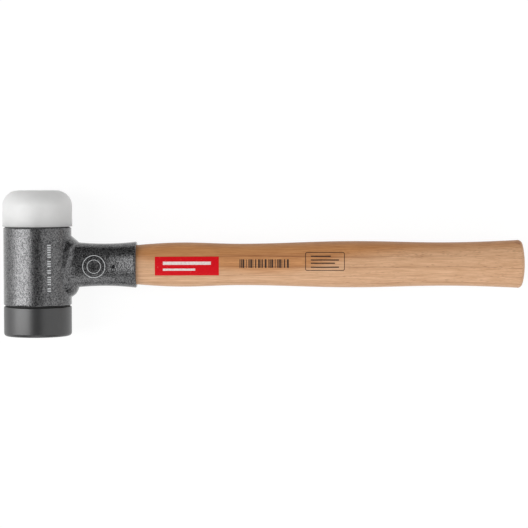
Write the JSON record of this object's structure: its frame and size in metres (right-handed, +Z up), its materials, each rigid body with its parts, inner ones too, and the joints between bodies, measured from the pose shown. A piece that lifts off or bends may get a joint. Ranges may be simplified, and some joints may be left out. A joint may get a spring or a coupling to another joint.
{
  "type": "dead blow hammer",
  "caption": "Dead blow hammer: steel tube head filled with loose shot, a white nylon and a dark polyurethane screw-in face, and an oval hickory handle pinned in a socket.",
  "frame": {"origin": "middle of the hammer's length and of its head, at the lowest point, as it lies on its side", "axes": "+X along the handle from the head to the butt, +Y along the head from the dark face to the white face, +Z up"},
  "size_m": [0.3928, 0.1096, 0.0523],
  "materials": {
    "hammered_lacquer": "satin",
    "hickory": "satin",
    "steel": "satin",
    "spring_steel": "satin",
    "shot_steel": "satin",
    "rubber": "matte",
    "nylon": "satin",
    "core_plastic": "satin",
    "polyurethane": "satin"
  },
  "bodies": {
    "head": {"head_housing": "hammered_lacquer", "handle": "hickory", "handle_pin": "spring_steel", "nylon_end_plug": "steel", "pu_end_plug": "steel", "nylon_end_ring": "spring_steel", "pu_end_ring": "spring_steel"},
    "nylon_washer": {"nylon_face_washer": "rubber"},
    "nylon_face": {"nylon_face": "nylon"},
    "pu_washer": {"pu_face_washer": "rubber"},
    "pu_face": {"pu_face": "polyurethane", "pu_face_core": "core_plastic"},
    "shot": {"shot_ball_01": "shot_steel", "shot_ball_02": "shot_steel", "shot_ball_03": "shot_steel", "shot_ball_04": "shot_steel", "shot_ball_05": "shot_steel", "shot_ball_06": "shot_steel", "shot_ball_07": "shot_steel", "shot_ball_08": "shot_steel", "shot_ball_09": "shot_steel", "shot_ball_10": "shot_steel", "shot_ball_11": "shot_steel", "shot_ball_12": "shot_steel", "shot_ball_13": "shot_steel", "shot_ball_14": "shot_steel", "shot_ball_15": "shot_steel", "shot_ball_16": "shot_steel", "shot_ball_17": "shot_steel", "shot_ball_18": "shot_steel", "shot_ball_19": "shot_steel", "shot_ball_20": "shot_steel", "shot_ball_21": "shot_steel", "shot_ball_22": "shot_steel", "shot_ball_23": "shot_steel", "shot_ball_24": "shot_steel", "shot_ball_25": "shot_steel", "shot_ball_26": "shot_steel", "shot_ball_27": "shot_steel", "shot_ball_28": "shot_steel"}
  },
  "joints": [
    {"name": "nylon_face_lift", "type": "slide", "parent": "head", "child": "nylon_washer", "axis": [0, 1, 0], "range_m": [0, 0.009]},
    {"name": "nylon_face_turn", "type": "hinge", "parent": "nylon_washer", "child": "nylon_face", "pos_m": [-0.17028, 0.028, 0.02615], "axis": [0, 1, 0], "range_deg": [0, 1080]},
    {"name": "pu_face_lift", "type": "slide", "parent": "head", "child": "pu_washer", "axis": [0, -1, 0], "range_m": [0, 0.009]},
    {"name": "pu_face_turn", "type": "hinge", "parent": "pu_washer", "child": "pu_face", "pos_m": [-0.17028, -0.032, 0.02615], "axis": [0, -1, 0], "range_deg": [0, 1080]},
    {"name": "shot_travel", "type": "slide", "parent": "head", "child": "shot", "axis": [0, 1, 0], "range_m": [0, 0.013]}
  ],
  "couplings": [
    {"joint": "nylon_face_lift", "follows": "nylon_face_turn", "m_per_rad": 0.00047746},
    {"joint": "pu_face_lift", "follows": "pu_face_turn", "m_per_rad": 0.00047746}
  ]
}
